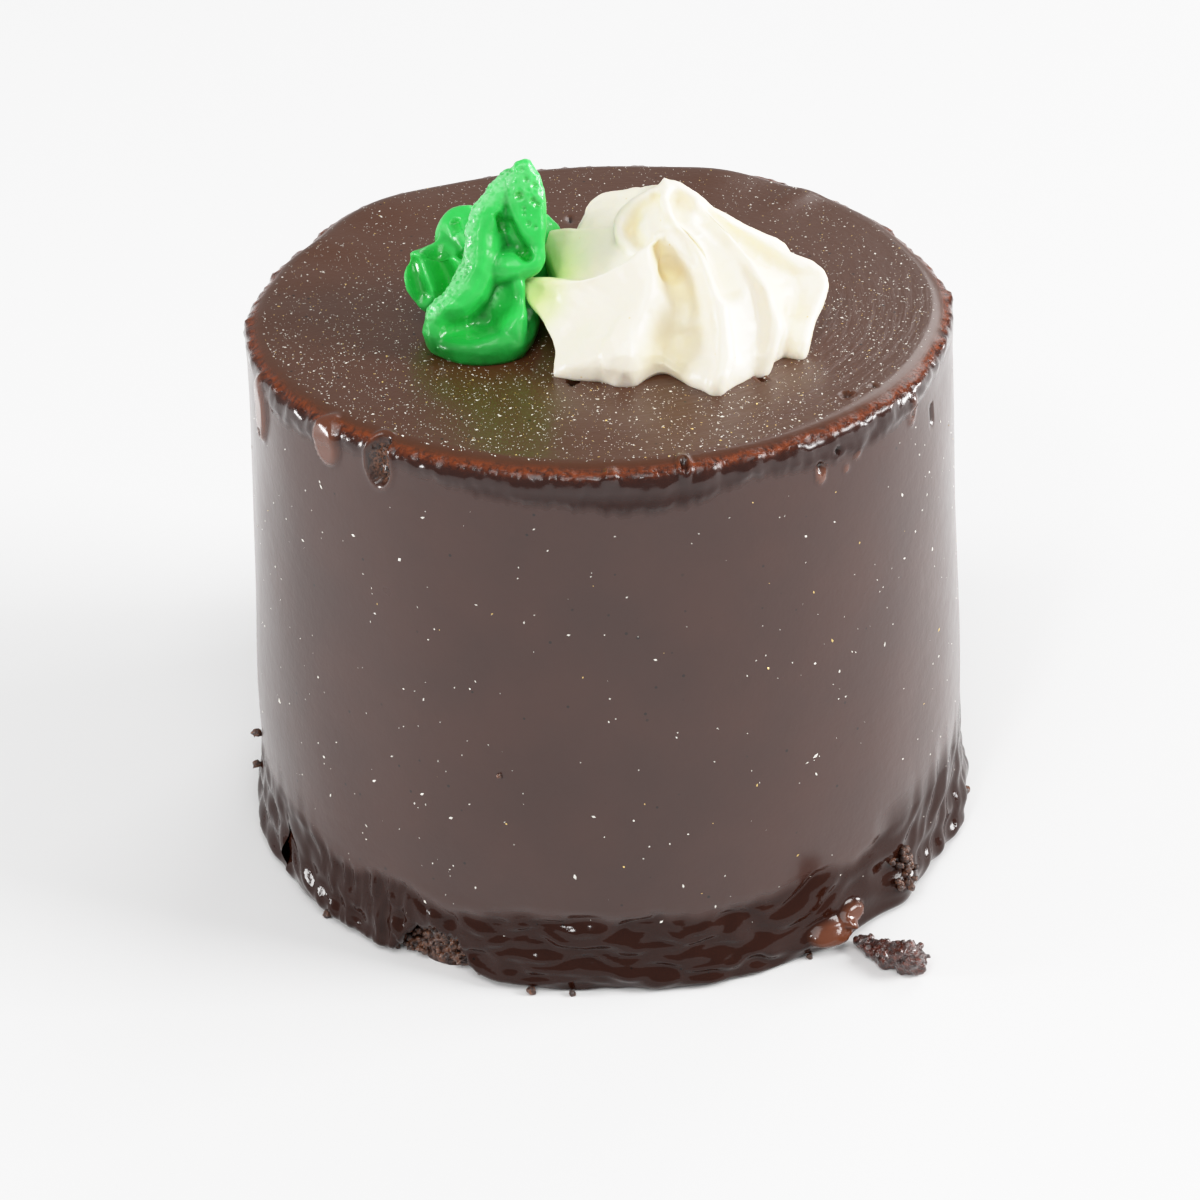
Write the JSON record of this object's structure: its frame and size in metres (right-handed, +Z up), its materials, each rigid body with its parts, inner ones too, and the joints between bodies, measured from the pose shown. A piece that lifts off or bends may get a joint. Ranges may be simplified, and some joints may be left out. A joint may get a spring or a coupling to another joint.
{
  "type": "single-portion chocolate torte",
  "caption": "Round single-portion chocolate torte under poured dark icing with an uneven foot, topped with a swirl of white cream and a ruffled swirl of green cream",
  "frame": {"origin": "middle of the flat underside of the cake, on the surface it stands on", "axes": "+Z up through the cake, -Y the front, +X to the right seen from the front, so that the green swirl is on the left and the white one on the right"},
  "size_m": [0.0758, 0.076, 0.0742],
  "materials": {
    "crumb": "dry open crumb",
    "icing": "set chocolate icing, soft gloss, with fine shimmer dust",
    "fallen_crumbs": "iced crumb, part glossy",
    "white_cream": "whipped cream, smooth satin",
    "green_cream": "coloured cream, wet gloss"
  },
  "bodies": {
    "root": {"sponge": "crumb", "icing": "icing", "fallen_crumbs": "fallen_crumbs", "white_swirl": "white_cream", "green_swirl": "green_cream"}
  },
  "joints": []
}
